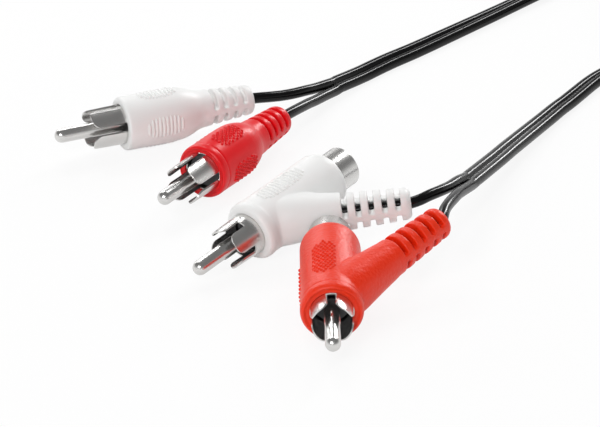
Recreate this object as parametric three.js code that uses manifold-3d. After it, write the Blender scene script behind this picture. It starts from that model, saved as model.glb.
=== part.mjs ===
// Stereo audio cable: two straight plugs at one end, two piggyback plugs at the other.
// Sizes in millimetres, +Z up, the cable lies on the floor at z = 0.
import * as THREE from "three";
import { mergeVertices } from "three/addons/utils/BufferGeometryUtils.js";
import Module from "manifold-3d";

const wasm = await Module();
wasm.setup();

// Clearance between pieces that touch on the real cable
const GAP = 0.3;

// Signal contacts, measured along the plug's axis with z = 0 near the front of its shell
const PIN_RADIUS = 1.5;
const PIN_BASE_RADIUS = 1.6;
const PIN_REACH = 14.6;
const PIN_BURIED = 8.4;
const SLEEVE_RADIUS = 4.2;
const SLEEVE_TIP_RADIUS = 4.05;
const SLEEVE_WALL = 0.3;
const PLUG_TONGUES = { reach: 7.2, root: 0.6, turn: 33 };
const PIGGYBACK_TONGUES = { reach: 6.2, root: -1.6, turn: 57 };
const SLEEVE_BURIED = 8.6;
const SLEEVE_FLANGE_BORE = 2.6;
const SLEEVE_FLANGE = 0.7;
const TONGUE_HALF_WIDTH = 2.15;
const TONGUE_CORNER = 1.75;
const POCKET_RADIUS = SLEEVE_RADIUS + GAP;
const POCKET_DEPTH = SLEEVE_BURIED + 0.6;
const CAVITY_RADIUS = 3.7;
const WIRE_RADIUS = 0.35;
const DRAIN_RADIUS = 0.25;

// Cable: single lead, and the twin made of two leads joined side by side
const LEAD_RADIUS = 1.15;
const LEAD_BORE = LEAD_RADIUS + GAP;
const TWIN_HALF_WIDTH = 2.25;
const TWIN_WAIST = 0.55;

// Straight plug shell
const PLUG_RADIUS = 5.7;
const PLUG_LENGTH = 29.4;
const PLUG_CAVITY_END = 14.2;
const PLUG_LEAD_START = 16.2;
const PLUG_SLITS = { first: 20.2, pitch: 2.25, count: 4, width: 1.0 };
const PLUG_GRIP = { middle: 8, half: 4, halfWidth: 2.5, pitch: 1.25, rise: 0.3 };

// Piggyback plug body: a barrel with a jack at the back and a slanted arm for the lead
const BARREL_RADIUS = 6.05;
const BARREL_END = 24.2;
const COLLAR_STEP = 0.12;
const ARM_CAVITY_RADIUS = 3.4;
const ARM_SLITS = { fromEnd: 13.05, pitch: 2.62, count: 5, width: 1.1 };
const BARREL_GRIP = { half: 5.9, halfWidth: 2.5, pitch: 1.45, rise: 0.3 };

// The two bodies come from different moulds: front face, arm and grip lie at their own places
const WHITE_BODY = { face: 0.9, armStart: 5.4, armAngle: 45.3, armLength: 29, leadStart: 10.8,
  gripMiddle: 11.2 };
const RED_BODY = { face: -2, armStart: 2.4, armAngle: 46, armLength: 30.8, leadStart: 13.4,
  gripMiddle: 9.8 };
const SLIT_WEB = 0.6;
const PLUG_SLIT_FLOOR = 2.3;
const BOOT_END_RADIUS = 3.2;
const JACK_RADIUS = 4.2;
const JACK_BORE = 3.5;
const JACK_START = 16.6;
const JACK_END = 29.2;
const CONTACT_RADIUS = 2.0;
const CONTACT_BORE = 1.6;
const CONTACT_START = 18.4;
const CONTACT_END = 27;

// Coil of the spare twin, with its tie
const COIL = { x: 118.16, y: 126.82, inner: 22.4, outer: 32.6, bottom: 1.2, top: 10.8 };
const TIE = { angle: 215, width: 5, wall: 0.8 };

const WHITE = { color: 0xe6e6e4, roughness: 0.42, metalness: 0 };
const RED = { color: 0xc8141c, roughness: 0.4, metalness: 0 };
const ORANGE_RED = { color: 0xd93420, roughness: 0.45, metalness: 0 };
const BLACK = { color: 0x141414, roughness: 0.38, metalness: 0 };
const NICKEL = { color: 0xc9c9cb, roughness: 0.16, metalness: 1 };
const COPPER = { color: 0xb87345, roughness: 0.35, metalness: 1 };

const group = new THREE.Group();
const rad = THREE.MathUtils.degToRad;

function addPiece(name, geometry, look, place) {
  const bare = geometry.clone();
  if (place) bare.applyMatrix4(place);
  bare.deleteAttribute("normal");
  bare.deleteAttribute("uv");
  const welded = mergeVertices(bare, 1e-4);
  welded.computeVertexNormals();
  const mesh = new THREE.Mesh(welded, new THREE.MeshStandardMaterial(look));
  mesh.name = name;
  group.add(mesh);
}

// Closed profile of [radius, height] turned about Z, outer side going up
function turned(profile, sides) {
  const points = [...profile];
  if (points[0][0] > 0) points.push(points[0]);
  return new THREE.LatheGeometry(points.map(([r, z]) => new THREE.Vector2(r, z)), sides)
    .rotateX(Math.PI / 2);
}

function toSolid(geometry) {
  const bare = geometry.clone();
  bare.deleteAttribute("normal");
  bare.deleteAttribute("uv");
  const welded = mergeVertices(bare, 1e-4);
  const index = welded.index.array;
  const position = welded.attributes.position.array;
  const triVerts = [];
  for (let i = 0; i < index.length; i += 3) {
    const [a, b, c] = [index[i], index[i + 1], index[i + 2]];
    if (a !== b && b !== c && c !== a) triVerts.push(a, b, c);
  }
  const mesh = new wasm.Mesh({
    numProp: 3, vertProperties: new Float32Array(position), triVerts: new Uint32Array(triVerts),
  });
  return new wasm.Manifold(mesh);
}

function fromSolid(solid) {
  const mesh = solid.getMesh();
  const geometry = new THREE.BufferGeometry();
  geometry.setAttribute("position", new THREE.BufferAttribute(new Float32Array(mesh.vertProperties), 3));
  geometry.setIndex(new THREE.BufferAttribute(new Uint32Array(mesh.triVerts), 1));
  return geometry;
}

function box(sizeX, sizeY, sizeZ, x, y, z) {
  return toSolid(new THREE.BoxGeometry(sizeX, sizeY, sizeZ).translate(x, y, z));
}

function rod(radius, from, to, sides) {
  return turned([[0, from], [radius, from], [radius, to], [0, to]], sides);
}

// Plug axes: local X is up, local Y the plug's side, local Z runs from the pin to the lead
function stance({ heading, tilt, roll, x, y, z }) {
  const [h, t, r] = [rad(heading), rad(tilt), rad(roll)];
  const axis = new THREE.Vector3(Math.cos(h) * Math.cos(t), Math.sin(h) * Math.cos(t), Math.sin(t));
  const level = new THREE.Vector3(Math.sin(h), -Math.cos(h), 0);
  const above = level.clone().cross(axis);
  const side = level.clone().multiplyScalar(Math.cos(r)).addScaledVector(above, Math.sin(r));
  const up = side.clone().cross(axis);
  return new THREE.Matrix4().makeBasis(up, side, axis).setPosition(x, y, z);
}

// Outline of one tongue: straight sides, rounded free end, drawn across and along the axis
function tongueOutline(tongues) {
  const [w, c, tip] = [TONGUE_HALF_WIDTH, TONGUE_CORNER, -tongues.reach];
  const shape = new THREE.Shape();
  shape.moveTo(-w, 1);
  shape.lineTo(-w, tip + c);
  shape.absarc(-w + c, tip + c, c, Math.PI, 1.5 * Math.PI, false);
  shape.absarc(w - c, tip + c, c, 1.5 * Math.PI, 2 * Math.PI, false);
  shape.lineTo(w, 1);
  shape.closePath();
  return shape;
}

// Prism of the outline along local X, or along local Y when turned a quarter about the axis
function acrossPrism(shape, reach, curveSegments, from = -reach) {
  const geometry = new THREE.ExtrudeGeometry(shape, {
    depth: reach - from, bevelEnabled: false, curveSegments, steps: 1,
  });
  geometry.translate(0, 0, from);
  const basis = new THREE.Matrix4().makeBasis(
    new THREE.Vector3(0, 1, 0), new THREE.Vector3(0, 0, 1), new THREE.Vector3(1, 0, 0));
  return geometry.applyMatrix4(basis);
}

// Four-tongued ground contact with a flange at its buried end
function sleeveGeometry(tongues) {
  const [outer, inner] = [SLEEVE_RADIUS, SLEEVE_RADIUS - SLEEVE_WALL];
  const [outerTip, innerTip] = [SLEEVE_TIP_RADIUS, SLEEVE_TIP_RADIUS - SLEEVE_WALL];
  const tube = toSolid(turned([[innerTip, -tongues.reach - 1], [outerTip, -tongues.reach - 1],
    [outer, tongues.root], [outer, SLEEVE_BURIED], [SLEEVE_FLANGE_BORE, SLEEVE_BURIED],
    [SLEEVE_FLANGE_BORE, SLEEVE_BURIED - SLEEVE_FLANGE], [inner, SLEEVE_BURIED - SLEEVE_FLANGE],
    [inner, tongues.root]], 24));
  const blades = acrossPrism(tongueOutline(tongues), 6, 3);
  const ring = SLEEVE_BURIED + 1 - tongues.root;
  const kept = toSolid(blades).add(toSolid(blades.clone().rotateZ(Math.PI / 2)))
    .add(box(12, 12, ring, 0, 0, tongues.root + ring / 2));
  return fromSolid(tube.intersect(kept));
}

function pinGeometry() {
  const [r, tip] = [PIN_RADIUS, -PIN_REACH];
  return turned([[0, tip], [0.55, tip + 0.05], [1.05, tip + 0.35], [1.38, tip + 0.85], [r, tip + 1.5],
    [r, -7], [PIN_BASE_RADIUS, -6.7], [PIN_BASE_RADIUS, 0.4], [r, 0.4], [r, PIN_BURIED],
    [0, PIN_BURIED]], 16);
}

function insulatorGeometry() {
  const outer = SLEEVE_RADIUS - SLEEVE_WALL - GAP;
  const bore = PIN_BASE_RADIUS + GAP;
  const back = SLEEVE_BURIED - SLEEVE_FLANGE - GAP;
  return turned([[bore, 1.5], [outer, 1.5], [outer, back], [bore, back]], 16);
}

// Oval patch on the shell, seen from outside
function ovalOutline(grip) {
  const shape = new THREE.Shape();
  shape.absellipse(0, grip.middle, grip.halfWidth, grip.half, 0, 2 * Math.PI, false);
  return shape;
}

function gripPrisms(grip, bothSides) {
  const along = toSolid(acrossPrism(ovalOutline(grip), 9, 4));
  const across = acrossPrism(ovalOutline(grip), 9, 4, bothSides ? -9 : 0).rotateZ(-Math.PI / 2);
  return along.add(toSolid(across));
}

// Raised ribs of a moulded grip: a ridged ring kept only inside the oval patches
function ribbedGrip(grip, radius, bothSides) {
  const low = radius - 0.6;
  const profile = [[low - 0.5, grip.middle - grip.half], [low, grip.middle - grip.half]];
  const count = Math.round((2 * grip.half) / grip.pitch);
  for (let i = 0; i < count; i += 1) {
    const z = grip.middle + (i - (count - 1) / 2) * grip.pitch;
    profile.push([low, z - 0.42 * grip.pitch], [radius + grip.rise, z], [low, z + 0.42 * grip.pitch]);
  }
  profile.push([low, grip.middle + grip.half], [low - 0.5, grip.middle + grip.half]);
  return toSolid(turned(profile, 16)).intersect(gripPrisms(grip, bothSides));
}

// Raised studs of a moulded grip, in staggered rows inside the oval patches
function studdedGrip(grip, radius, turns) {
  const pitch = 1.6;
  const studs = [];
  const rows = Math.floor(grip.half / (pitch * 0.87));
  for (let row = -rows; row <= rows; row += 1) {
    const along = row * pitch * 0.87;
    const halfSpan = grip.halfWidth * Math.sqrt(Math.max(0, 1 - (along / grip.half) ** 2));
    const shift = row % 2 === 0 ? 0 : pitch / 2;
    for (let across = -3 * pitch + shift; across < 3.5 * pitch; across += pitch) {
      if (Math.abs(across) > halfSpan) continue;
      const stud = new THREE.ConeGeometry(0.72, 1.1, 4, 1)
        .rotateY(Math.PI / 4).rotateZ(-Math.PI / 2)
        .translate(radius + grip.rise - 0.55, 0, 0).rotateZ(across / radius)
        .translate(0, 0, grip.middle + along);
      for (const turn of turns) studs.push(toSolid(stud.clone().rotateZ(turn)));
    }
  }
  return wasm.Manifold.union(studs);
}

// Slits across a strain relief, cut from above and below and leaving a web on each side
function slitCutters(slits, first) {
  const cutters = [];
  for (let i = 0; i < slits.count; i += 1) {
    const z = first + i * slits.pitch;
    for (const sign of [-1, 1]) {
      cutters.push(box(8, 16, slits.width, sign * (SLIT_WEB + 4), 0, z));
    }
  }
  return wasm.Manifold.union(cutters);
}

function straightShell(grip) {
  const outside = toSolid(turned([[0, 0], [5.3, 0], [5.6, 0.35], [PLUG_RADIUS, 1.2],
    [PLUG_RADIUS, 9], [5.6, 12.2], [5.3, 14], [4.85, 15.2], [4.35, 16.2], [4.05, 17.5], [3.9, 19.2],
    [BOOT_END_RADIUS, PLUG_LENGTH - 1.1], [BOOT_END_RADIUS - 0.3, PLUG_LENGTH - 0.3],
    [BOOT_END_RADIUS - 0.9, PLUG_LENGTH], [0, PLUG_LENGTH]], 24));
  const inside = toSolid(turned([[0, -1], [POCKET_RADIUS, -1], [POCKET_RADIUS, POCKET_DEPTH],
    [CAVITY_RADIUS, POCKET_DEPTH], [CAVITY_RADIUS, PLUG_CAVITY_END], [LEAD_BORE, PLUG_CAVITY_END],
    [LEAD_BORE, PLUG_LENGTH + 1], [0, PLUG_LENGTH + 1]], 20));
  const slits = slitCutters(PLUG_SLITS, PLUG_SLITS.first)
    .subtract(toSolid(rod(PLUG_SLIT_FLOOR, PLUG_CAVITY_END, PLUG_LENGTH + 1, 20)));
  return fromSolid(outside.add(grip).subtract(inside).subtract(slits));
}

function addContacts(prefix, place, tongues) {
  addPiece(`${prefix}_sleeve`, sleeveGeometry(tongues).rotateZ(rad(tongues.turn)), NICKEL, place);
  addPiece(`${prefix}_pin`, pinGeometry(), NICKEL, place);
  addPiece(`${prefix}_insulator`, insulatorGeometry(), BLACK, place);
}

// Round wire or lead through the points, sections with the given number of sides
function strand(points, radius, sides, steps) {
  const shape = new THREE.Shape();
  for (let i = 0; i < sides; i += 1) {
    const a = (2 * Math.PI * (i + 0.5)) / sides;
    if (i === 0) shape.moveTo(radius * Math.cos(a), radius * Math.sin(a));
    else shape.lineTo(radius * Math.cos(a), radius * Math.sin(a));
  }
  shape.closePath();
  return new THREE.ExtrudeGeometry(shape, {
    steps, bevelEnabled: false, extrudePath: new THREE.CatmullRomCurve3(points, false, "centripetal"),
  });
}

// Flat section of the twin: two round lobes with a waist between them
function twinStrand(points, steps) {
  const shape = new THREE.Shape();
  const centre = TWIN_HALF_WIDTH - LEAD_RADIUS;
  const rim = [];
  for (const a of [-100, -50, 0, 50, 100]) {
    rim.push([LEAD_RADIUS * Math.sin(rad(a)), centre + LEAD_RADIUS * Math.cos(rad(a))]);
  }
  const outline = [...rim, [TWIN_WAIST, 0], ...rim.map(([x, y]) => [-x, -y]), [-TWIN_WAIST, 0]];
  outline.forEach(([x, y], i) => (i === 0 ? shape.moveTo(x, y) : shape.lineTo(x, y)));
  shape.closePath();
  return new THREE.ExtrudeGeometry(shape, {
    steps, bevelEnabled: false, extrudePath: new THREE.CatmullRomCurve3(points, false, "centripetal"),
  });
}

function addStraightPlug(prefix, look, grip, place) {
  addPiece(`${prefix}_shell`, straightShell(grip), look, place);
  addContacts(prefix, place, PLUG_TONGUES);
  addPiece(`${prefix}_core`, rod(WIRE_RADIUS, PIN_BURIED + GAP, PLUG_LEAD_START - GAP, 6), COPPER, place);
  const flange = SLEEVE_BURIED + GAP;
  const drain = [[0, -3, flange], [0, -2.9, 10.4], [0, -1.5, 13], [0, -0.95, 14.2],
    [0, -0.9, PLUG_LEAD_START - GAP]];
  addPiece(`${prefix}_drain`,
    strand(drain.map((p) => new THREE.Vector3(...p)), DRAIN_RADIUS, 6, 8), COPPER, place);
}

function armPlace(body) {
  return new THREE.Matrix4().makeRotationX(-rad(body.armAngle)).setPosition(0, 0, body.armStart);
}

function piggybackBody(body, grip) {
  const { face, armLength } = body;
  const cavityEnd = body.leadStart - 0.8;
  const barrelRadius = BARREL_RADIUS - COLLAR_STEP;
  const barrel = toSolid(turned([[0, face], [5.35, face], [5.75, face + 0.3], [BARREL_RADIUS, face + 1],
    [BARREL_RADIUS, face + 2.1], [barrelRadius, face + 2.4], [barrelRadius, BARREL_END - 2],
    [5.7, BARREL_END - 1], [5.3, BARREL_END - 0.4], [4.8, BARREL_END], [0, BARREL_END]], 24));
  const arm = toSolid(turned([[0, -1], [5.45, -1], [5.45, 0], [5.05, 5.5], [4.4, 10.5], [3.95, 14.6],
    [3.8, 15.6], [BOOT_END_RADIUS, armLength - 1], [BOOT_END_RADIUS - 0.3, armLength - 0.4],
    [BOOT_END_RADIUS - 0.9, armLength], [0, armLength]], 20))
    .subtract(slitCutters(ARM_SLITS, armLength - ARM_SLITS.fromEnd))
    .subtract(toSolid(rod(LEAD_BORE / Math.cos(Math.PI / 12), cavityEnd - 1, armLength + 1, 12)));
  const placed = toSolid(fromSolid(arm).applyMatrix4(armPlace(body)));
  const armCavity = toSolid(rod(ARM_CAVITY_RADIUS, 0, cavityEnd, 12).applyMatrix4(armPlace(body)));
  return fromSolid(barrel.add(placed).add(grip)
    .subtract(toSolid(rod(POCKET_RADIUS, face - 1, POCKET_DEPTH, 24)))
    .subtract(toSolid(rod(CAVITY_RADIUS, 1, JACK_START, 16)))
    .subtract(toSolid(rod(JACK_RADIUS + GAP, JACK_START - GAP, BARREL_END + 1, 24)))
    .subtract(armCavity));
}

// Core of the lead, from beside the pin's link, behind the sleeve's flange and into the arm
function leadCore(body) {
  const end = body.leadStart - GAP;
  const [sin, cos] = [Math.sin(rad(body.armAngle)), Math.cos(rad(body.armAngle))];
  const bend = SLEEVE_BURIED + 2 * GAP + WIRE_RADIUS;
  const points = [[0, 2 * WIRE_RADIUS + GAP, bend + 1.5], [0, 2.9, bend + 0.9], [0, 4.5, bend + 0.1],
    [0, (end - 2.6) * sin, body.armStart + (end - 2.6) * cos], [0, end * sin, body.armStart + end * cos]];
  return strand(points.map((p) => new THREE.Vector3(...p)), WIRE_RADIUS, 6, 10);
}

function addPiggybackPlug(prefix, look, body, grip, place) {
  addPiece(`${prefix}_body`, piggybackBody(body, grip), look, place);
  addContacts(prefix, place, PIGGYBACK_TONGUES);
  const flangeBack = JACK_START + SLEEVE_FLANGE;
  addPiece(`${prefix}_jack_shell`, turned([[SLEEVE_FLANGE_BORE, JACK_START], [JACK_RADIUS, JACK_START],
    [JACK_RADIUS, JACK_END - 0.35], [JACK_RADIUS - 0.25, JACK_END], [JACK_BORE, JACK_END],
    [JACK_BORE, flangeBack], [SLEEVE_FLANGE_BORE, flangeBack]], 24), NICKEL, place);
  const washer = [JACK_BORE - GAP, CONTACT_RADIUS + GAP];
  addPiece(`${prefix}_jack_insulator`, turned([[washer[1], flangeBack + GAP],
    [washer[0], flangeBack + GAP], [washer[0], CONTACT_END + 0.6], [washer[1], CONTACT_END + 0.6]], 16),
  look, place);
  addPiece(`${prefix}_jack_contact`, turned([[0, CONTACT_START], [CONTACT_RADIUS, CONTACT_START],
    [CONTACT_RADIUS, CONTACT_END], [CONTACT_BORE, CONTACT_END], [CONTACT_BORE, CONTACT_START + 0.6],
    [0, CONTACT_START + 0.6]], 14), NICKEL, place);
  addPiece(`${prefix}_core_link`,
    rod(WIRE_RADIUS, PIN_BURIED + GAP, CONTACT_START - GAP, 6), COPPER, place);
  addPiece(`${prefix}_shield_link`,
    rod(DRAIN_RADIUS, SLEEVE_BURIED + GAP, JACK_START - GAP, 6).translate(0, -3, 0), COPPER, place);
  addPiece(`${prefix}_lead_core`, leadCore(body), COPPER, place);
}

// Where each plug lies: heading of its axis from the pin to the lead, tilt, roll, front-face centre
const PLUG_REST = PLUG_RADIUS + PLUG_GRIP.rise;
const PLACES = {
  white_plug: { heading: 24.3, tilt: 0, roll: 2.5, x: -25.98, y: 39.46, z: PLUG_REST },
  red_plug: { heading: 57.46, tilt: 0, roll: -10.5, x: -8.62, y: 17.15, z: PLUG_REST },
  white_piggyback: { heading: 47.8, tilt: 8.85, roll: 1.5, x: 0.69, y: -9.71, z: BARREL_RADIUS - 0.2 },
  red_piggyback: { heading: 90.4, tilt: 0.95, roll: 14.9, x: 17.25, y: -39.6, z: BARREL_RADIUS + 0.1 },
};

const QUARTERS = [0, 0.5 * Math.PI, Math.PI, 1.5 * Math.PI];
addStraightPlug("white_plug", WHITE, ribbedGrip(PLUG_GRIP, PLUG_RADIUS, true),
  stance(PLACES.white_plug));
addStraightPlug("red_plug", RED, studdedGrip(PLUG_GRIP, PLUG_RADIUS, QUARTERS),
  stance(PLACES.red_plug));
addPiggybackPlug("white_piggyback", WHITE, WHITE_BODY,
  ribbedGrip({ ...BARREL_GRIP, middle: WHITE_BODY.gripMiddle }, BARREL_RADIUS - COLLAR_STEP, false),
  stance(PLACES.white_piggyback));
addPiggybackPlug("red_piggyback", ORANGE_RED, RED_BODY,
  studdedGrip({ ...BARREL_GRIP, middle: RED_BODY.gripMiddle }, BARREL_RADIUS - COLLAR_STEP,
    [0, Math.PI, 1.5 * Math.PI]),
  stance(PLACES.red_piggyback));

// Routes of the single leads, from inside each plug to the place where the two leads join
const LEADS = {
  white_plug_lead: [[-11.22, 46.13, 6.04], [-5.93, 48.51, 6.04], [-0.46, 50.98, 6.04],
    [1.54, 51.89, 6.0], [4.92, 53.42, 5.6], [7.45, 54.89, 5.2], [9.98, 56.58, 4.9],
    [12.33, 58.76, 4.5], [14.46, 61.42, 3.8], [17.34, 65.04, 3.1]],
  red_plug_lead: [[0.09, 30.81, 6.0], [3.64, 36.37, 6.0], [6.67, 41.1, 6.0], [8.03, 43.25, 5.98],
    [9.38, 45.4, 5.8], [10.63, 47.67, 5.45], [11.89, 50.1, 5.0], [13.16, 52.82, 4.4],
    [14.44, 55.35, 3.8], [16.76, 59.92, 2.9], [18.96, 63.85, 2.16]],
  white_piggyback_lead: [[14.98, -5.37, 8.05], [20.93, -5.16, 8.81], [26.5, -4.96, 9.52],
    [31.04, -4.79, 10.1], [33.02, -4.7, 10.38], [34.8, -4.1, 10.75], [36.55, -2.6, 10.9],
    [38.5, -0.5, 10.7], [40.6, 2.8, 10.0], [42.74, 7.25, 9.1], [43.66, 9.12, 8.55]],
  red_piggyback_lead: [[26.48, -27.88, 8.8], [30.62, -23.7, 9.98], [35.2, -19.08, 11.29],
    [37.8, -16.45, 12.04], [38.58, -15.66, 12.26], [38.92, -14.05, 12.42], [39.32, -11.57, 12.35],
    [40.15, -8.48, 12.0], [41.24, -4.9, 11.35], [42.24, -1.47, 10.6], [43.87, 3.48, 9.15],
    [45.62, 8.42, 7.75]],
};

// Routes of the twin, from the join to the coil
const TWINS = {
  upper_twin: [[18.34, 64.72, 2.6], [19.65, 66.75, 2.35], [22.28, 70.33, 1.85], [24.94, 73.76, 1.5],
    [30.28, 79.85, 1.3], [35.69, 85.32, 1.3], [41.17, 91.12, 1.3], [46.72, 97.0, 1.3],
    [52.36, 102.97, 1.3], [58.06, 109.02, 1.3], [63.7, 115.0, 1.3], [69.2, 120.8, 1.4],
    [77.4, 129.5, 2.0], [84.82, 137.37, 2.6]],
  lower_twin: [[44.82, 9.19, 8.0], [47.09, 14.71, 7.0], [49.4, 20.29, 6.0], [51.72, 25.73, 5.1],
    [54.1, 31.45, 4.2], [56.47, 36.79, 3.4], [58.87, 41.99, 2.7], [61.29, 47.03, 2.1],
    [63.7, 51.71, 1.7], [66.12, 56.23, 1.45], [68.51, 60.12, 1.3], [70.93, 64.09, 1.3],
    [73.37, 68.1, 1.3], [75.8, 71.64, 1.3], [80.0, 76.2, 1.3], [86.2, 80.4, 1.3],
    [95.3, 84.2, 1.5], [105.0, 87.6, 1.9], [115.69, 91.85, 2.6]],
};

function route(points) {
  return points.map((p) => new THREE.Vector3(...p));
}

for (const [name, points] of Object.entries(LEADS)) {
  addPiece(name, strand(route(points), LEAD_RADIUS, 8, 16), BLACK);
}
for (const [name, points] of Object.entries(TWINS)) {
  addPiece(name, twinStrand(route(points), 22), BLACK);
}

const { inner, outer, bottom, top } = COIL;
const edge = 1.2;
addPiece("coil", turned([[inner, bottom + edge], [inner + edge, bottom], [outer - edge, bottom],
  [outer, bottom + edge], [outer, top - edge], [outer - edge, top], [inner + edge, top],
  [inner, top - edge]], 32), BLACK, new THREE.Matrix4().makeTranslation(COIL.x, COIL.y, 0));

// Closed strap around the bundle, its inner side a little wider for the bundle's curve
function tieGeometry() {
  const [near, far] = [inner - 2 * GAP, outer + GAP];
  const [low, high] = [bottom - GAP, top + GAP];
  const middle = [(near + far) / 2, 0, (low + high) / 2];
  const strap = box(far - near + 2 * TIE.wall, TIE.width, high - low + 2 * TIE.wall, ...middle);
  return fromSolid(strap.subtract(box(far - near, TIE.width + 2, high - low, ...middle)));
}
addPiece("coil_tie", tieGeometry(), BLACK,
  new THREE.Matrix4().makeRotationZ(rad(TIE.angle)).setPosition(COIL.x, COIL.y, 0));

export default group;
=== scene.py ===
"""Looks of a stereo audio lead: two plain plugs, two stackable plugs, black twin cable and its coil."""
import math

import bmesh
import bpy
from mathutils import Matrix, Vector


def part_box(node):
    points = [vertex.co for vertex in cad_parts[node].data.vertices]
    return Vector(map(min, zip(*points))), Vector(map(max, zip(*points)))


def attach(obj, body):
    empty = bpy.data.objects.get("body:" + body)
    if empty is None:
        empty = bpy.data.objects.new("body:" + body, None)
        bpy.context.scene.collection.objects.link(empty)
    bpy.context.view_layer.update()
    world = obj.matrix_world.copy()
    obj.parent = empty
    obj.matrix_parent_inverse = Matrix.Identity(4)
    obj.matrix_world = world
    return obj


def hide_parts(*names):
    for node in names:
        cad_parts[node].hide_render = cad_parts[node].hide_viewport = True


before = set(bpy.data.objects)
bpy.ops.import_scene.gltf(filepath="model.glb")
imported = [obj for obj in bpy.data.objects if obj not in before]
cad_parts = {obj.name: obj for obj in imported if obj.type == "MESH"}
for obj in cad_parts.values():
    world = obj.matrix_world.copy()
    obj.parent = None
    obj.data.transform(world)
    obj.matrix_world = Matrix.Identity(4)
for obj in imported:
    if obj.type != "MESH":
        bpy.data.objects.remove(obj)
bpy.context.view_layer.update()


# Camera: a long lens 0.7 m away that looks down at about 27 degrees, as the photograph does.
VIEW_TILT = math.radians(27.45)
VIEW_DISTANCE = 0.7
VIEW_CENTRE = Vector((0.01126, 0.01072, 0.0))
camera = bpy.data.objects.new("camera", bpy.data.cameras.new("camera"))
bpy.context.scene.collection.objects.link(camera)
camera.location = VIEW_CENTRE + VIEW_DISTANCE * Vector((0, -math.cos(VIEW_TILT), math.sin(VIEW_TILT)))
camera.rotation_euler = (math.pi / 2 - VIEW_TILT, 0, 0)
camera.data.sensor_width = 36
camera.data.lens = 208.74
camera.data.clip_start = 0.05
camera.data.clip_end = 20
bpy.context.scene.camera = camera
bpy.context.scene.view_settings.view_transform = "Standard"


# Black cable jacket: extruded PVC, nearly black and glossy enough to carry a thin line of light.
# The leads and the twin cable share it.
class Wire:
    """A shader socket. Arithmetic on wires adds Math nodes, and node() adds any other node."""

    def __init__(self, tree, socket=None):
        self.tree = tree
        self.socket = socket

    def node(self, kind, settings=None, inputs=None, output=0):
        made = self.tree.nodes.new(kind)
        for key, value in (settings or {}).items():
            if key == "stops":
                for stop, (at, level) in zip(made.color_ramp.elements, value):
                    stop.position = at
                    stop.color = (level, level, level, 1)
            else:
                setattr(made, key, value)
        for key, value in (inputs or {}).items():
            if isinstance(value, Wire):
                self.tree.links.new(value.socket, made.inputs[key])
            else:
                made.inputs[key].default_value = value
        return Wire(self.tree, made.outputs[output] if made.outputs else None)

    def maths(self, operation, first, second):
        return self.node("ShaderNodeMath", {"operation": operation}, {0: first, 1: second})

    def __add__(self, other):
        return self.maths("ADD", self, other)

    __radd__ = __add__

    def __mul__(self, other):
        return self.maths("MULTIPLY", self, other)

    __rmul__ = __mul__


def shown(red, green, blue):
    """The linear colour that shows as this screen colour, 0 to 255."""
    return tuple(((v / 255 + 0.055) / 1.055) ** 2.4 if v > 10 else v / 3295 for v in (red, green, blue))


def finish_of(name, colour, roughness, metallic=0.0, specular=0.5):
    """A material whose plain values go straight on the shader's sockets."""
    material = bpy.data.materials.new(name)
    material.use_nodes = True
    shader = material.node_tree.nodes["Principled BSDF"]
    shader.inputs["Base Color"].default_value = (*colour, 1)
    shader.inputs["Roughness"].default_value = roughness
    shader.inputs["Metallic"].default_value = metallic
    shader.inputs["Specular IOR Level"].default_value = specular
    return material


def grained(material, grain_size, depth):
    """Adds a fine raised grain from noise on the piece's own coordinates, sizes in metres."""
    wires = Wire(material.node_tree)
    place = wires.node("ShaderNodeTexCoord", output="Object")
    grain = wires.node("ShaderNodeTexNoise", {}, {"Vector": place, "Scale": 1 / grain_size, "Detail": 3})
    relief = wires.node("ShaderNodeBump", {}, {"Height": grain, "Distance": depth, "Strength": 1.0})
    wires.tree.links.new(relief.socket, wires.tree.nodes["Principled BSDF"].inputs["Normal"])


black_pvc = finish_of("black_pvc", shown(8, 8, 9), 0.19, specular=0.25)


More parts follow.
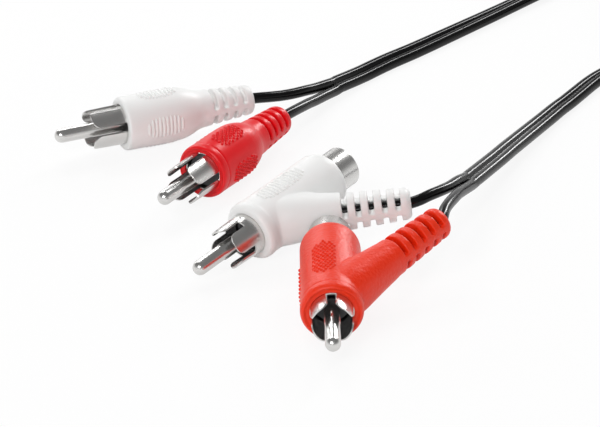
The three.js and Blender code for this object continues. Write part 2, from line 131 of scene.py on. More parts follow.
# Single leads: four round strands, each leaving a strain relief and closing up to its neighbour.
# Black PVC. Each is a round curve whose end runs on inside a strand of the twin cable and thins there.
LEAD_RADIUS = 0.00115
LEAD_ROUTES = {
    "white_plug_lead": [
        (-0.01122, 0.04613, 0.00604), (-0.00593, 0.04851, 0.00604), (-0.00046, 0.05098, 0.00604),
        (0.00154, 0.05189, 0.006), (0.00492, 0.05342, 0.0056), (0.00745, 0.05489, 0.0052),
        (0.00998, 0.05658, 0.0049), (0.01233, 0.05876, 0.0045), (0.01446, 0.06142, 0.0038),
        (0.01734, 0.06504, 0.0031), (0.0181, 0.0663, 0.00283), (0.01881, 0.06737, 0.00269)],
    "red_plug_lead": [
        (0.00009, 0.03081, 0.006), (0.00364, 0.03637, 0.006), (0.00667, 0.0411, 0.006),
        (0.00803, 0.04325, 0.00598), (0.00938, 0.0454, 0.0058), (0.01063, 0.04767, 0.00545),
        (0.01189, 0.0501, 0.005), (0.01316, 0.05282, 0.0044), (0.01444, 0.05535, 0.0038),
        (0.01676, 0.05992, 0.0029), (0.01896, 0.06385, 0.00216),
        (0.01982, 0.06511, 0.00213), (0.02049, 0.06613, 0.00201)],
    "white_piggyback_lead": [
        (0.01498, -0.00537, 0.00805), (0.02093, -0.00516, 0.00881), (0.0265, -0.00496, 0.00952),
        (0.03104, -0.00479, 0.0101), (0.03302, -0.0047, 0.01038), (0.0348, -0.0041, 0.01075),
        (0.03655, -0.0026, 0.0109), (0.0385, -0.0005, 0.0107), (0.0406, 0.0028, 0.01),
        (0.04274, 0.00725, 0.0091), (0.04366, 0.00912, 0.00855), (0.04441, 0.01101, 0.00798),
        (0.04497, 0.01239, 0.00772)],
    "red_piggyback_lead": [
        (0.02648, -0.02788, 0.0088), (0.03062, -0.0237, 0.00998), (0.0352, -0.01908, 0.01129),
        (0.0378, -0.01645, 0.01204), (0.03858, -0.01566, 0.01226), (0.03892, -0.01405, 0.01242),
        (0.03932, -0.01157, 0.01235), (0.04015, -0.00848, 0.012), (0.04124, -0.0049, 0.01135),
        (0.04224, -0.00147, 0.0106), (0.04387, 0.00348, 0.00915), (0.04562, 0.00842, 0.00775),
        (0.04637, 0.01012, 0.00752), (0.04693, 0.0115, 0.00727)],
}


def smooth_line(points, step):
    """Points about a step apart on the centripetal curve through the given ones."""
    known = [Vector(p) for p in points]
    known = [2 * known[0] - known[1], *known, 2 * known[-1] - known[-2]]
    line = [known[1]]
    for p0, p1, p2, p3 in zip(known, known[1:], known[2:], known[3:]):
        gaps = [max((b - a).length, 1e-7) ** 0.5 for a, b in ((p0, p1), (p1, p2), (p2, p3))]
        leave = ((p1 - p0) / gaps[0] - (p2 - p0) / (gaps[0] + gaps[1]) + (p2 - p1) / gaps[1]) * gaps[1]
        arrive = ((p2 - p1) / gaps[1] - (p3 - p1) / (gaps[1] + gaps[2]) + (p3 - p2) / gaps[2]) * gaps[1]
        count = max(1, round((p2 - p1).length / step))
        for i in range(1, count + 1):
            t = i / count
            line.append((2 * t**3 - 3 * t**2 + 1) * p1 + (t**3 - 2 * t**2 + t) * leave
                        + (3 * t**2 - 2 * t**3) * p2 + (t**3 - t**2) * arrive)
    return line


LEAD_STEP = 0.0008
LEAD_TUCK = 0.0025
END_FULLNESS = 0.93
for name, route in LEAD_ROUTES.items():
    line = smooth_line(route, LEAD_STEP)
    curve = bpy.data.curves.new(name, "CURVE")
    curve.dimensions = "3D"
    curve.bevel_depth = LEAD_RADIUS
    curve.bevel_resolution = 6
    curve.use_fill_caps = True
    spline = curve.splines.new("POLY")
    spline.points.add(len(line) - 1)
    for point, place in zip(spline.points, line):
        point.co = (*place, 1)
        point.radius = END_FULLNESS + (1 - END_FULLNESS) * min(1, (line[-1] - place).length / LEAD_TUCK)
    lead = bpy.data.objects.new(f"{name}_jacket", curve)
    bpy.context.scene.collection.objects.link(lead)
    curve.materials.append(black_pvc)
    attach(lead, "root")
    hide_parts(name)
    total = sum((b - a).length for a, b in zip(line, line[1:]))


# Twin cable: two strands moulded side by side with a thin waist, flat on the table near the plugs
# and on edge in the coil, where the spare length lies in two layers of about three turns each.
# Black PVC. One closed outline is extruded from point to point along the whole route.
TWIN_OFFSET = 0.0011
TWIN_WAIST = 0.00042
TWIN_STEP = 0.0015
TWIN_SECTION = 14
TABLE_GAP = 0.00005
UPPER_ROUTE = [
    (0.01834, 0.06472, 0.0026), (0.01965, 0.06675, 0.00235), (0.02228, 0.07033, 0.00185),
    (0.02494, 0.07376, 0.0015), (0.03028, 0.07985, 0.0013), (0.03569, 0.08532, 0.0013),
    (0.04117, 0.09112, 0.0013), (0.04672, 0.097, 0.0013), (0.05236, 0.10297, 0.0013),
    (0.05806, 0.10902, 0.0013), (0.0637, 0.115, 0.0013), (0.0692, 0.1208, 0.0014),
    (0.0774, 0.1295, 0.002), (0.08482, 0.13737, 0.0026)]
LOWER_ROUTE = [
    (0.04482, 0.00919, 0.008), (0.04709, 0.01471, 0.007), (0.0494, 0.02029, 0.006),
    (0.05172, 0.02573, 0.0051), (0.0541, 0.03145, 0.0042), (0.05647, 0.03679, 0.0034),
    (0.05887, 0.04199, 0.0027), (0.06129, 0.04703, 0.0021), (0.0637, 0.05171, 0.0017),
    (0.06612, 0.05623, 0.00145), (0.06851, 0.06012, 0.0013), (0.07093, 0.06409, 0.0013),
    (0.07337, 0.0681, 0.0013), (0.0758, 0.07164, 0.0013), (0.08, 0.0762, 0.0013),
    (0.0862, 0.0804, 0.0013), (0.0953, 0.0842, 0.0015), (0.105, 0.0876, 0.0019),
    (0.11569, 0.09185, 0.0026)]
COIL_CENTRE = (0.11816, 0.12682)
COIL_ENTRY = math.radians(162.4)
COIL_TURNS = 6.712
COIL_PITCH = 0.0024
COIL_INNER = 0.0239
LAYER_LOW = 0.0036
LAYER_HIGH = 0.0083
LAYER_TURNS = 3.0
STEP_UP_TURNS = 0.35
JOIN_TURNS = 0.1
ENTRY_OUTSET, ENTRY_DROP = 0.0036, 0.0008
LEAVE_TURNS = 0.36
LEAVE_OUTSET, LEAVE_DROP = 0.002, 0.0006
TURN_POINTS = 24


def eased(share):
    share = min(1.0, max(0.0, share))
    return share * share * (3 - 2 * share)


def coil_point(turn):
    """Down the lower layer inwards, up a step, and outwards again on the upper layer."""
    outer = COIL_INNER + LAYER_TURNS * COIL_PITCH
    inward = min(turn, LAYER_TURNS)
    outward = max(0.0, turn - LAYER_TURNS - STEP_UP_TURNS)
    radius = outer - COIL_PITCH * inward + COIL_PITCH * outward
    rise = eased((turn - LAYER_TURNS) / STEP_UP_TURNS)
    leave = eased((turn - COIL_TURNS + LEAVE_TURNS) / LEAVE_TURNS)
    height = LAYER_LOW + (LAYER_HIGH - LAYER_LOW) * (rise - leave)
    enter = 1 - eased(turn / JOIN_TURNS)
    radius += ENTRY_OUTSET * enter + LEAVE_OUTSET * leave
    height -= ENTRY_DROP * enter + LEAVE_DROP * leave
    angle = COIL_ENTRY - 2 * math.pi * turn
    return (COIL_CENTRE[0] + radius * math.cos(angle), COIL_CENTRE[1] + radius * math.sin(angle), height)


turn_count = round(COIL_TURNS * TURN_POINTS)
coil_points = [coil_point(COIL_TURNS * i / turn_count) for i in range(1, turn_count)]
twin_line = smooth_line(UPPER_ROUTE + coil_points + LOWER_ROUTE[::-1], TWIN_STEP)
reached = [0.0]
for a, b in zip(twin_line, twin_line[1:]):
    reached.append(reached[-1] + (b - a).length)
twin_length = reached[-1]
TWIN_ROLLS = [(0, 19), (0.033, 5), (0.057, -7), (0.072, -14), (0.115, -90),
              (twin_length - 0.125, -90), (twin_length - 0.075, -164), (twin_length - 0.067, -170.5),
              (twin_length, -193)]


def roll_at(distance):
    for (d0, r0), (d1, r1) in zip(TWIN_ROLLS, TWIN_ROLLS[1:]):
        if distance <= d1:
            return math.radians(r0 + (r1 - r0) * (distance - d0) / (d1 - d0))
    return math.radians(TWIN_ROLLS[-1][1])


for point, distance in zip(twin_line, reached):
    point.z = max(point.z, LEAD_RADIUS + TWIN_OFFSET * abs(math.sin(roll_at(distance))) + TABLE_GAP)


def section_frame(index):
    """Place of the cable's section: local X runs across both strands, local Z along the cable."""
    ahead = (twin_line[min(index + 1, len(twin_line) - 1)] - twin_line[max(index - 1, 0)]).normalized()
    left = Vector((0, 0, 1)).cross(ahead).normalized()
    up = ahead.cross(left)
    roll = roll_at(reached[index])
    across = left * math.cos(roll) + up * math.sin(roll)
    thick = ahead.cross(across)
    turn = Matrix((across, thick, ahead)).transposed().to_4x4()
    from_end = min(reached[index], twin_length - reached[index])
    fullness = END_FULLNESS + (1 - END_FULLNESS) * eased(from_end / LEAD_TUCK)
    return Matrix.Translation(twin_line[index]) @ turn @ Matrix.Scale(fullness, 4)


twin_mesh = bmesh.new()
first = section_frame(0)
outline = []
waist_angle = math.asin(TWIN_WAIST / LEAD_RADIUS)
for side in (1, -1):
    for i in range(TWIN_SECTION + 1):
        angle = (math.pi - waist_angle) * (2 * i / TWIN_SECTION - 1)
        outline.append(Vector((side * (TWIN_OFFSET + LEAD_RADIUS * math.cos(angle)),
                               side * LEAD_RADIUS * math.sin(angle), 0)))
ring = [twin_mesh.verts.new(first @ p) for p in outline]
edges = [twin_mesh.edges.new((a, b)) for a, b in zip(ring, ring[1:] + ring[:1])]
placed = first
for index in range(1, len(twin_line)):
    following = section_frame(index)
    made = bmesh.ops.extrude_edge_only(twin_mesh, edges=edges)["geom"]
    edges = [g for g in made if isinstance(g, bmesh.types.BMEdge)
             and all(v in made for v in g.verts)]
    fresh = [g for g in made if isinstance(g, bmesh.types.BMVert)]
    bmesh.ops.transform(twin_mesh, matrix=following @ placed.inverted(), verts=fresh)
    placed = following
bmesh.ops.holes_fill(twin_mesh, edges=twin_mesh.edges, sides=0)
bmesh.ops.recalc_face_normals(twin_mesh, faces=twin_mesh.faces)


def piece(name, solid, material, sharp=40, place=None):
    """A finished piece from a bmesh: placed, shaded smooth up to the sharp angle and given its material."""
    if place is not None:
        bmesh.ops.transform(solid, matrix=place, verts=solid.verts)
    mesh = bpy.data.meshes.new(name)
    solid.to_mesh(mesh)
    solid.free()
    mesh.shade_smooth()
    mesh.set_sharp_from_angle(angle=math.radians(sharp))
    mesh.materials.append(material)
    made = bpy.data.objects.new(name, mesh)
    bpy.context.scene.collection.objects.link(made)
    return made


twin = piece("twin_cable", twin_mesh, black_pvc, 60)
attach(twin, "root")
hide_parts("upper_twin", "lower_twin", "coil")


# Coil tie: a flat black strap closed around the bundle, pulled over both layers.
# Soft plastic. A box without ends, with round corners and an even wall.
TIE_ANGLE = math.radians(215)
TIE_WALL = 0.0008
TIE_WIDTH = 0.005
TIE_NEAR, TIE_FAR = 0.0222, 0.0328
TIE_CORNER = 0.0012
low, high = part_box("coil_tie")
tie_top = high.z - TIE_WALL
strap = bmesh.new()
bmesh.ops.create_cube(strap, size=1)
bmesh.ops.scale(strap, vec=(TIE_FAR - TIE_NEAR, TIE_WIDTH, tie_top - low.z - TIE_WALL), verts=strap.verts)
bmesh.ops.translate(strap, vec=((TIE_NEAR + TIE_FAR) / 2, 0, (tie_top + low.z + TIE_WALL) / 2),
                    verts=strap.verts)
ends = [f for f in strap.faces if abs(f.normal.y) > 0.9]
bmesh.ops.delete(strap, geom=ends, context="FACES_ONLY")
corners = [e for e in strap.edges if len(e.link_faces) == 2]
bmesh.ops.bevel(strap, geom=corners, offset=TIE_CORNER, segments=5, profile=0.5, affect="EDGES", material=-1)
bmesh.ops.recalc_face_normals(strap, faces=strap.faces)
bmesh.ops.solidify(strap, geom=strap.faces[:], thickness=-TIE_WALL)
bmesh.ops.recalc_face_normals(strap, faces=strap.faces)
tie_place = Matrix.Translation((*COIL_CENTRE, 0)) @ Matrix.Rotation(TIE_ANGLE, 4, "Z")
tie_black = finish_of("tie_black", shown(28, 28, 29), 0.55)
grained(tie_black, 0.0004, 0.00002)
tie = piece("coil_strap", strap, tie_black, 30, tie_place)
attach(tie, "root")
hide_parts("coil_tie")


# Plain plug shells: soft PVC moulded over the contacts, with oval grips and a slit strain relief.
# Turned, cut and given one eased skin by a voxel remesh, then set with ribs or studs.
# All plug shapes are drawn in millimetres about the plug's axis, X up and Z from the pin to the lead.
PLACES = {
    "white_plug": dict(heading=24.3, tilt=0, roll=2.5, at=(-25.98, 39.46, 6.0)),
    "red_plug": dict(heading=57.46, tilt=0, roll=-10.5, at=(-8.62, 17.15, 6.0)),
    "white_piggyback": dict(heading=47.8, tilt=8.85, roll=1.5, at=(0.69, -9.71, 5.85)),
    "red_piggyback": dict(heading=90.4, tilt=0.95, roll=14.9, at=(17.25, -39.6, 6.15)),
}
SLEEVE_RADIUS = 4.2
GAP = 0.3
POCKET_DEPTH = 9.2
CAVITY_RADIUS = 3.7
LEAD_BORE = 1.45
PLUG_RADIUS = 5.7
PLUG_LENGTH = 29.4
PLUG_CAVITY_END = 14.2
SLIT_WEB = 0.6
SLIT_FLOOR = 2.3
PLUG_SLITS = dict(first=20.2, pitch=2.25, count=4, width=1.0)
PLUG_GRIP = dict(middle=8.0, half=4.0, half_width=2.4, pitch=0.82)
MOUTH_RADIUS = 4.15
GRIP_RISE = 0.33
STUD_RADIUS = 0.34
SKIN = 0.2


def stance(heading, tilt, roll, at):
    """Matrix from a plug's own millimetres to its place in the frame, in metres."""
    h, t, r = math.radians(heading), math.radians(tilt), math.radians(roll)
    axis = Vector((math.cos(h) * math.cos(t), math.sin(h) * math.cos(t), math.sin(t)))
    level = Vector((math.sin(h), -math.cos(h), 0))
    above = level.cross(axis)
    side = level * math.cos(r) + above * math.sin(r)
    up = side.cross(axis)
    turn = Matrix((up, side, axis)).transposed().to_4x4()
    return Matrix.Scale(0.001, 4) @ Matrix.Translation(at) @ turn


def turned(profile, steps=72):
    """Closed solid spun about Z from points (radius, height); off the axis the profile closes on itself."""
    solid = bmesh.new()
    verts = [solid.verts.new((r, 0, z)) for r, z in profile]
    pairs = list(zip(verts, verts[1:]))
    if profile[0][0] > 0:
        pairs.append((verts[-1], verts[0]))
    edges = [solid.edges.new(pair) for pair in pairs]
    bmesh.ops.spin(solid, geom=verts + edges, cent=(0, 0, 0), axis=(0, 0, 1), angle=2 * math.pi,
                   steps=steps, use_merge=True)
    bmesh.ops.remove_doubles(solid, verts=solid.verts, dist=1e-4)
    bmesh.ops.recalc_face_normals(solid, faces=solid.faces)
    return solid


def block(x0, x1, y0, y1, z0, z1):
    solid = bmesh.new()
    bmesh.ops.create_cube(solid, size=1)
    bmesh.ops.scale(solid, vec=(x1 - x0, y1 - y0, z1 - z0), verts=solid.verts)
    bmesh.ops.translate(solid, vec=((x0 + x1) / 2, (y0 + y1) / 2, (z0 + z1) / 2), verts=solid.verts)
    return solid


def added(solid, other):
    """Puts another bmesh's faces beside a solid's own."""
    carrier = bpy.data.meshes.new("carrier")
    other.to_mesh(carrier)
    other.free()
    solid.from_mesh(carrier)
    bpy.data.meshes.remove(carrier)
    return solid


def through_modifiers(solid, setups, tools=()):
    """The bmesh after these modifiers, given as (kind, settings); a tool object is removed afterwards."""
    mesh = bpy.data.meshes.new("blank")
    solid.to_mesh(mesh)
    solid.free()
    blank = bpy.data.objects.new("blank", mesh)
    bpy.context.scene.collection.objects.link(blank)
    for kind, settings in setups:
        modifier = blank.modifiers.new(kind.lower(), kind)
        for key, value in settings.items():
            setattr(modifier, key, value)
    result = bmesh.new()
    result.from_object(blank, bpy.context.evaluated_depsgraph_get())
    for used in (blank, *tools):
        data = used.data
        bpy.data.objects.remove(used)
        bpy.data.meshes.remove(data)
    return result


def cut_or_joined(solid, other, operation):
    """Boolean of two solids: DIFFERENCE, UNION or INTERSECT."""
    mesh = bpy.data.meshes.new("tool")
    other.to_mesh(mesh)
    other.free()
    tool = bpy.data.objects.new("tool", mesh)
    bpy.context.scene.collection.objects.link(tool)
    settings = dict(operation=operation, object=tool, solver="EXACT")
    return through_modifiers(solid, [("BOOLEAN", settings)], [tool])


def skinned(solid, fineness=SKIN):
    """One soft moulded skin over a solid, with its edges and inner corners eased."""
    return through_modifiers(solid, [
        ("REMESH", dict(mode="VOXEL", voxel_size=fineness)),
        ("SMOOTH", dict(factor=0.5, iterations=4))])


def slits(first, pitch, count, width):
    """Cutters for the strain relief's slits, from above and below, leaving a web in the middle."""
    cutters = bmesh.new()
    for i in range(count):
        z = first + i * pitch
        for x0, x1 in ((SLIT_WEB, 9), (-9, -SLIT_WEB)):
            added(cutters, block(x0, x1, -9, 9, z - width / 2, z + width / 2))
    return cutters


def oval_half(along, half, half_width):
    """Half width of a grip's full oval at this distance from its middle."""
    return half_width * max(0, 1 - abs(along / half) ** 3) ** (1 / 3)


def ribs(radius, middle, half, half_width, pitch, turns):
    """Rounded bars across each oval grip, bent round the shell."""
    bars = bmesh.new()
    count = round(2 * half / pitch)
    for row in range(count):
        offset = (row - (count - 1) / 2) * pitch
        span = oval_half(offset, half, half_width)
        for turn in turns:
            bar = bmesh.new()
            bmesh.ops.create_uvsphere(bar, u_segments=16, v_segments=12, radius=1)
            for v in bar.verts:
                reach = math.copysign(abs(v.co.y) ** 0.5, v.co.y) * span
                outside = radius - 0.1 + v.co.x * (GRIP_RISE + 0.05)
                angle = reach / radius
                v.co = (outside * math.cos(angle), outside * math.sin(angle),
                        middle + offset + v.co.z * 0.46 * pitch)
            bmesh.ops.rotate(bar, verts=bar.verts, cent=(0, 0, 0), matrix=Matrix.Rotation(turn, 3, "Z"))
            added(bars, bar)
    bmesh.ops.recalc_face_normals(bars, faces=bars.faces)
    return bars


def studs(radius, middle, half, half_width, pitch, turns):
    """Small round studs in staggered rows on each oval grip."""
    dots = bmesh.new()
    step = 0.87 * pitch
    rows = int(half / step)
    for row in range(-rows, rows + 1):
        along = row * step
        span = oval_half(along, half, half_width)
        shift = 0.5 * pitch * (row % 2)
        for column in range(-6, 7):
            across = column * pitch + shift
            if abs(across) > span:
                continue
            for turn in turns:
                dot = bmesh.new()
                bmesh.ops.create_icosphere(dot, subdivisions=2, radius=STUD_RADIUS)
                bmesh.ops.translate(dot, vec=(radius + GRIP_RISE - STUD_RADIUS, 0, 0), verts=dot.verts)
                spot = Matrix.Rotation(turn + across / radius, 4, "Z")
                bmesh.ops.transform(dot, matrix=Matrix.Translation((0, 0, middle + along)) @ spot,
                                    verts=dot.verts)
                added(dots, dot)
    return dots


def straight_shell(rim, fineness=SKIN):
    """The plug's skin: round rim, waisted body and tapered boot over the pocket and the lead's bore."""
    shell = turned([*rim, (PLUG_RADIUS, 9),
                    (5.67, 10.6), (5.6, 12.2), (5.45, 13.2), (5.2, 14.2), (4.85, 15.2), (4.5, 15.95),
                    (4.25, 16.6), (4.05, 17.5), (3.93, 18.6), (3.2, 28.3), (3.05, 28.9), (2.7, 29.25),
                    (2.3, PLUG_LENGTH), (0, PLUG_LENGTH)])
    hollow = turned([(0, -1), (MOUTH_RADIUS, -1), (MOUTH_RADIUS, POCKET_DEPTH),
                     (CAVITY_RADIUS, POCKET_DEPTH), (CAVITY_RADIUS, PLUG_CAVITY_END),
                     (LEAD_BORE, PLUG_CAVITY_END), (LEAD_BORE, PLUG_LENGTH + 1), (0, PLUG_LENGTH + 1)])
    shell = cut_or_joined(shell, hollow, "DIFFERENCE")
    core = turned([(0, PLUG_CAVITY_END), (SLIT_FLOOR, PLUG_CAVITY_END), (SLIT_FLOOR, PLUG_LENGTH + 1),
                   (0, PLUG_LENGTH + 1)])
    grooves = cut_or_joined(slits(**PLUG_SLITS), core, "DIFFERENCE")
    return skinned(cut_or_joined(shell, grooves, "DIFFERENCE"), fineness)


white_pvc = finish_of("white_pvc", shown(238, 238, 237), 0.42)
grained(white_pvc, 0.0005, 0.000006)
red_pvc = finish_of("red_pvc", shown(228, 12, 22), 0.34, specular=0.35)
grained(red_pvc, 0.0005, 0.000008)
QUARTERS = [0, math.pi / 2, math.pi, 1.5 * math.pi]
PLAIN_RIM = [(0, 0), (5.2, 0), (5.5, 0.12), (5.65, 0.45), (PLUG_RADIUS, 1.2)]
STEPPED_RIM = [(0, 0.25), (4.95, 0.25), (5.05, 0), (5.3, 0), (5.6, 0.3), (PLUG_RADIUS, 0.8),
               (PLUG_RADIUS, 1.7), (PLUG_RADIUS - 0.3, 1.95), (PLUG_RADIUS - 0.05, 2.2)]
white_shell = added(straight_shell(PLAIN_RIM), ribs(PLUG_RADIUS, **PLUG_GRIP, turns=QUARTERS))
red_shell = added(straight_shell(STEPPED_RIM, 0.16), studs(PLUG_RADIUS, **PLUG_GRIP, turns=QUARTERS))
for name, solid, material, slot in (("white_plug", white_shell, white_pvc, "white_pvc"),
                                    ("red_plug", red_shell, red_pvc, "red_pvc")):
    shell = piece(f"{name}_moulding", solid, material, 50, stance(**PLACES[name]))
    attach(shell, "root")
    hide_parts(f"{name}_shell")


# Stackable plug bodies: one PVC moulding with a barrel, a jack at its rear and the lead's arm at 45
# degrees. The two bodies come from different moulds, and only their contacts are alike.
# Barrel and arm are turned, joined, hollowed and given one eased skin.
BARREL_RADIUS = 6.05
COLLAR_STEP = 0.12
BARREL_END = 24.2
JACK_START = 16.6
JACK_RADIUS = 4.2
ARM_CAVITY_RADIUS = 3.4
ARM_SLITS = dict(pitch=2.62, count=5, width=1.1)
SLITS_FROM_END = 13.05
WHITE_BODY = dict(face=0.9, lip=0.0, arm_start=5.4, arm_angle=45.3, arm_length=29.0, cavity_end=10.0)
RED_BODY = dict(face=-2.0, lip=0.3, arm_start=2.4, arm_angle=46.0, arm_length=30.8, cavity_end=12.6)
BARREL_GRIP = dict(half=5.9, half_width=2.4, pitch=0.84)


def piggyback_body(face, lip, arm_start, arm_angle, arm_length, cavity_end):
    """Barrel and arm joined in one skin, with pockets for the sleeve, the jack and the lead."""
    inner = BARREL_RADIUS - COLLAR_STEP
    barrel = turned([(0, face + lip), (5.15, face + lip), (5.25, face), (5.5, face), (5.8, face + 0.3),
                     (BARREL_RADIUS, face + 0.9), (BARREL_RADIUS, face + 2), (inner - lip, face + 2.2),
                     (inner, face + 2.6), (inner, BARREL_END - 2), (5.75, BARREL_END - 1.1),
                     (5.45, BARREL_END - 0.5), (4.9, BARREL_END), (0, BARREL_END)], 96)
    arm = turned([(0, -1), (5.45, -1), (5.45, 0), (5.05, 5.5), (4.4, 10.5), (3.95, 14.6), (3.8, 15.6),
                  (3.2, arm_length - 1), (2.9, arm_length - 0.4), (2.3, arm_length), (0, arm_length)])
    arm = cut_or_joined(arm, slits(arm_length - SLITS_FROM_END, **ARM_SLITS), "DIFFERENCE")
    bore = turned([(0, cavity_end - 1), (LEAD_BORE, cavity_end - 1), (LEAD_BORE, arm_length + 1),
                   (0, arm_length + 1)])
    arm = cut_or_joined(arm, bore, "DIFFERENCE")
    cavity = turned([(0, 0), (ARM_CAVITY_RADIUS, 0), (ARM_CAVITY_RADIUS, cavity_end), (0, cavity_end)])
    lean = Matrix.Translation((0, 0, arm_start)) @ Matrix.Rotation(-math.radians(arm_angle), 4, "X")
    for solid in (arm, cavity):
        bmesh.ops.transform(solid, matrix=lean, verts=solid.verts)
    body = cut_or_joined(barrel, arm, "UNION")
    socket = JACK_RADIUS + GAP
    hollow = turned([(0, face - 1), (MOUTH_RADIUS, face - 1), (MOUTH_RADIUS, POCKET_DEPTH),
                     (CAVITY_RADIUS, POCKET_DEPTH), (CAVITY_RADIUS, JACK_START - GAP),
                     (socket, JACK_START - GAP), (socket, BARREL_END + 1), (0, BARREL_END + 1)])
    body = cut_or_joined(body, hollow, "DIFFERENCE")
    return skinned(cut_or_joined(body, cavity, "DIFFERENCE"))


orange_pvc = finish_of("orange_red_pvc", shown(236, 48, 10), 0.38, specular=0.4)
grained(orange_pvc, 0.0006, 0.00013)
inner_radius = BARREL_RADIUS - COLLAR_STEP
white_body = added(piggyback_body(**WHITE_BODY),
                   ribs(inner_radius, middle=11.2, **BARREL_GRIP, turns=[0, math.pi, 1.5 * math.pi]))
red_body = added(piggyback_body(**RED_BODY),
                 studs(inner_radius, middle=9.8, **BARREL_GRIP, turns=[0, math.pi, 1.5 * math.pi]))
for name, solid, material, slot in (("white_piggyback", white_body, white_pvc, "white_pvc"),
                                    ("red_piggyback", red_body, orange_pvc, "orange_red_pvc")):
    body = piece(f"{name}_moulding", solid, material, 50, stance(**PLACES[name]))
    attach(body, "root")
    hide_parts(f"{name}_body")


# Ground sleeves: nickel-plated brass tubes slit into four rounded tongues that spring onto the jack.
# A turned tube keeps what crossed blades with round ends leave of it.
SLEEVE_TIP_RADIUS = 4.05
SLEEVE_WALL = 0.3
SLEEVE_BURIED = 8.6
TONGUE_HALF_WIDTH = 2.15
TONGUE_CORNER = 1.75
PLUG_TONGUES = dict(reach=7.2, root=0.6, turn=33)
PIGGYBACK_TONGUES = dict(reach=6.2, root=-1.6, turn=57)
nickel = finish_of("nickel", shown(218, 217, 215), 0.27, metallic=1.0)


def tongue_blade(reach, root):
    """Bar across the sleeve, as wide as a tongue and rounded at its free end."""
    w = TONGUE_HALF_WIDTH
    blade = block(-8, 8, -w, w, -reach, root + 1)
    tips = [e for e in blade.edges if all(v.co.z < -reach + 0.01 for v in e.verts)
            and abs(e.verts[0].co.x - e.verts[1].co.x) > 1]
    bmesh.ops.bevel(blade, geom=tips, offset=TONGUE_CORNER, segments=10, profile=0.5, affect="EDGES",
                    material=-1)
    return blade


def sleeve(reach, root, turn):
    outer, tip = SLEEVE_RADIUS, SLEEVE_TIP_RADIUS
    tube = turned([(tip - SLEEVE_WALL, -reach - 1), (tip, -reach - 1), (outer, root), (outer, SLEEVE_BURIED),
                   (2.6, SLEEVE_BURIED), (2.6, SLEEVE_BURIED - 0.7),
                   (outer - SLEEVE_WALL, SLEEVE_BURIED - 0.7), (outer - SLEEVE_WALL, root)], 96)
    kept = tongue_blade(reach, root)
    crossing = tongue_blade(reach, root)
    bmesh.ops.rotate(crossing, verts=crossing.verts, cent=(0, 0, 0),
                     matrix=Matrix.Rotation(math.pi / 2, 3, "Z"))
    kept = cut_or_joined(kept, crossing, "UNION")
    kept = cut_or_joined(kept, block(-8, 8, -8, 8, root, SLEEVE_BURIED + 1), "UNION")
    made = cut_or_joined(tube, kept, "INTERSECT")
    bmesh.ops.rotate(made, verts=made.verts, cent=(0, 0, 0),
                     matrix=Matrix.Rotation(math.radians(turn), 3, "Z"))
    return made


for name in PLACES:
    tongues = PLUG_TONGUES if name.endswith("_plug") else PIGGYBACK_TONGUES
    contact = piece(f"{name}_tongues", sleeve(**tongues), nickel, 35, stance(**PLACES[name]))
    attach(contact, "root")
    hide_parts(f"{name}_sleeve")


# Signal pins: turned brass, nickel plated, with a round nose and a slightly thicker root.
# Spun about the plug's axis.
PIN_RADIUS = 1.5
PIN_BASE_RADIUS = 1.6
PIN_REACH = 14.6
PIN_BURIED = 8.4
for name in PLACES:
    nose = [(PIN_RADIUS * math.sin(a), -PIN_REACH + 1.5 - 1.5 * math.cos(a))
            for a in (math.pi / 2 * i / 8 for i in range(9))]
    nose[0] = (0, -PIN_REACH)
    solid = turned([*nose, (PIN_RADIUS, -7.0), (PIN_BASE_RADIUS, -6.7), (PIN_BASE_RADIUS, 0.4),
                    (PIN_RADIUS, 0.4), (PIN_RADIUS, PIN_BURIED), (0, PIN_BURIED)], 48)
    pin = piece(f"{name}_contact_pin", solid, nickel, 35, stance(**PLACES[name]))
    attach(pin, "root")
    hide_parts(f"{name}_pin")


# Rear jacks: a plated shell, a washer in the plug's own colour and a hollow centre contact.
# Nickel-plated brass and hard plastic, all spun about the plug's axis.
JACK_END = 29.2
JACK_BORE = 3.5
CONTACT_RADIUS = 2.0
CONTACT_BORE = 1.6
CONTACT_START = 18.4
CONTACT_END = 27.0
white_insulator = finish_of("white_insulator", shown(228, 228, 226), 0.5)
red_insulator = finish_of("red_insulator", shown(214, 50, 34), 0.5)
for name, material, slot in (("white_piggyback", white_insulator, "white_insulator"),
                             ("red_piggyback", red_insulator, "red_insulator")):
    place = stance(**PLACES[name])
    flange = JACK_START + 0.7
    can = turned([(2.6, JACK_START), (JACK_RADIUS, JACK_START), (JACK_RADIUS, JACK_END - 0.35),
                  (JACK_RADIUS - 0.1, JACK_END - 0.1), (JACK_RADIUS - 0.3, JACK_END), (JACK_BORE, JACK_END),
                  (JACK_BORE, flange), (2.6, flange)], 96)
    washer = turned([(CONTACT_RADIUS + GAP, flange + GAP), (JACK_BORE - GAP, flange + GAP),
                     (JACK_BORE - GAP, CONTACT_END + 0.6), (CONTACT_RADIUS + GAP, CONTACT_END + 0.6)], 64)
    tube = turned([(0, CONTACT_START), (CONTACT_RADIUS, CONTACT_START), (CONTACT_RADIUS, CONTACT_END),
                   (CONTACT_BORE, CONTACT_END), (CONTACT_BORE, CONTACT_START + 0.6),
                   (0, CONTACT_START + 0.6)], 48)
    for part, solid, finish, kind in (("jack_shell", can, nickel, "nickel"),
                                      ("jack_insulator", washer, material, slot),
                                      ("jack_contact", tube, nickel, "nickel")):
        made = piece(f"{name}_{part}_turned", solid, finish, 35, place)
        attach(made, "root")
        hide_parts(f"{name}_{part}")


# Inner pieces: dark insulating washers round the pins, and copper wires behind them.
# They keep their CAD shape and get a material.
dark_insulator = finish_of("dark_insulator", shown(84, 84, 86), 0.5)
copper = finish_of("copper", shown(202, 126, 84), 0.3, metallic=1.0)
for name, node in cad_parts.items():
    material = None
    if name.endswith("_insulator") and "jack" not in name:
        material = dark_insulator
    elif name.endswith(("_core", "_drain", "_link")):
        material = copper
    if material is not None:
        node.data.materials.clear()
        node.data.materials.append(material)


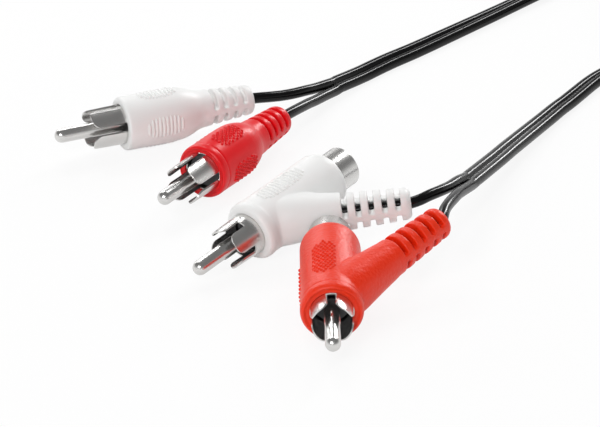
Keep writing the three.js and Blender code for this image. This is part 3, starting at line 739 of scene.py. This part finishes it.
# Studio: a white table and background, a soft box overhead, a key box in front and three strips behind.
# The strips draw lines of light on the metal, the cable and the edges of the plastic.
floor_mesh = bmesh.new()
bmesh.ops.create_grid(floor_mesh, x_segments=1, y_segments=1, size=3)
floor_material = bpy.data.materials.new("table")
floor_material.use_nodes = True
floor_wires = Wire(floor_material.node_tree)
floor_wires.tree.nodes.clear()
rays = floor_wires.tree.nodes.new("ShaderNodeLightPath")
camera_ray = Wire(floor_wires.tree, rays.outputs["Is Camera Ray"])
glossy_ray = Wire(floor_wires.tree, rays.outputs["Is Glossy Ray"])
matt = floor_wires.node("ShaderNodeBsdfDiffuse", {}, {"Color": (0.9, 0.9, 0.9, 1)})
glow = floor_wires.node("ShaderNodeEmission", {}, {"Color": (1, 1, 1, 1), "Strength": 1.0})
whiteness = 0.89 * camera_ray + 0.5 * glossy_ray
lit = floor_wires.node("ShaderNodeMixShader", {}, {0: whiteness, 1: matt, 2: glow})
floor_wires.node("ShaderNodeOutputMaterial", {}, {"Surface": lit})
floor = piece("table", floor_mesh, floor_material)

world = bpy.data.worlds.new("studio")
bpy.context.scene.world = world
world.use_nodes = True
sky = Wire(world.node_tree)
sky.tree.nodes.clear()
rays = sky.tree.nodes.new("ShaderNodeLightPath")
camera_ray = Wire(sky.tree, rays.outputs["Is Camera Ray"])
direction = sky.node("ShaderNodeTexCoord", output="Generated")
height = sky.node("ShaderNodeSeparateXYZ", {}, {"Vector": direction}, output="Z")
level = sky.node("ShaderNodeValToRGB", {"stops": [(0.02, 1.0), (0.45, 0.2)]}, {"Fac": height})
plain = sky.node("ShaderNodeBackground", {}, {"Color": level, "Strength": 1.0})
white = sky.node("ShaderNodeBackground", {}, {"Color": (1, 1, 1, 1), "Strength": 1.0})
both = sky.node("ShaderNodeMixShader", {}, {0: camera_ray, 1: plain, 2: white})
sky.node("ShaderNodeOutputWorld", {}, {"Surface": both})

LAMPS = [
    ("overhead_box", (-0.15, 0.3, 0.8), (0.01, 0.03, 0.0), 0.5, 0.5, 1.7),
    ("key_box", (-0.2, -0.62, 0.5), (0.01, 0.02, 0.0), 0.36, 0.2, 2.8),
    ("sheen_strip", (-0.25, 0.62, 0.7), (0.01, -0.01, 0.0), 0.4, 0.1, 1.5),
    ("cable_strip", (0.47, 0.79, 0.53), (0.05, 0.06, 0.0), 0.12, 0.64, 4.6),
    ("rim_strip", (-0.42, 0.85, 0.36), (0.01, 0.0, 0.0), 0.6, 0.16, 1.3),
]
for name, place, target, width, length, power in LAMPS:
    lamp = bpy.data.objects.new(name, bpy.data.lights.new(name, "AREA"))
    bpy.context.scene.collection.objects.link(lamp)
    lamp.data.shape = "RECTANGLE"
    lamp.data.size = width
    lamp.data.size_y = length
    lamp.data.energy = power
    lamp.location = place
    lamp.rotation_euler = (Vector(target) - Vector(place)).to_track_quat("-Z", "Y").to_euler()
    lamp.visible_glossy = name != "overhead_box"
